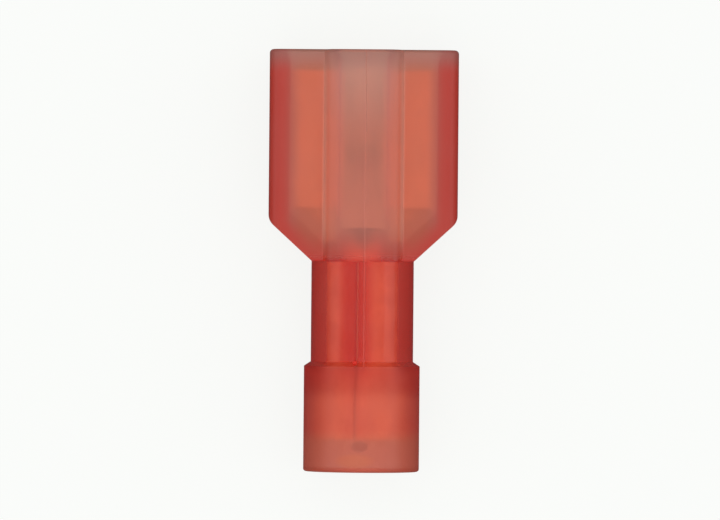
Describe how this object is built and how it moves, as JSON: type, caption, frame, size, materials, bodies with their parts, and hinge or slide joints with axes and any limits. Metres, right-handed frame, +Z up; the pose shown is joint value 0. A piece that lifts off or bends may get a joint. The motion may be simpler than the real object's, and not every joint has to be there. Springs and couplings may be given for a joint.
{
  "type": "female spade terminal",
  "caption": "Fully insulated female spade terminal: flat box over a rolled receptacle for a 6.35 x 0.8 mm tab, round crimp neck and wider wire-grip collar.",
  "frame": {"origin": "centre of the bounding box's bottom face, on the surface that the connector lies on", "axes": "+Y along the connector's axis out of the tab mouth, +Z up out of the wide face, wire leaves along -Y"},
  "size_m": [0.0098, 0.0218, 0.006],
  "materials": {
    "red_nylon": "translucent, slightly milky",
    "terminal_brass": "stamped, satin",
    "sleeve_brass": "drawn, satin"
  },
  "bodies": {
    "root": {"insulating_housing": "red_nylon", "receptacle_terminal": "terminal_brass", "grip_sleeve": "sleeve_brass"}
  },
  "joints": []
}
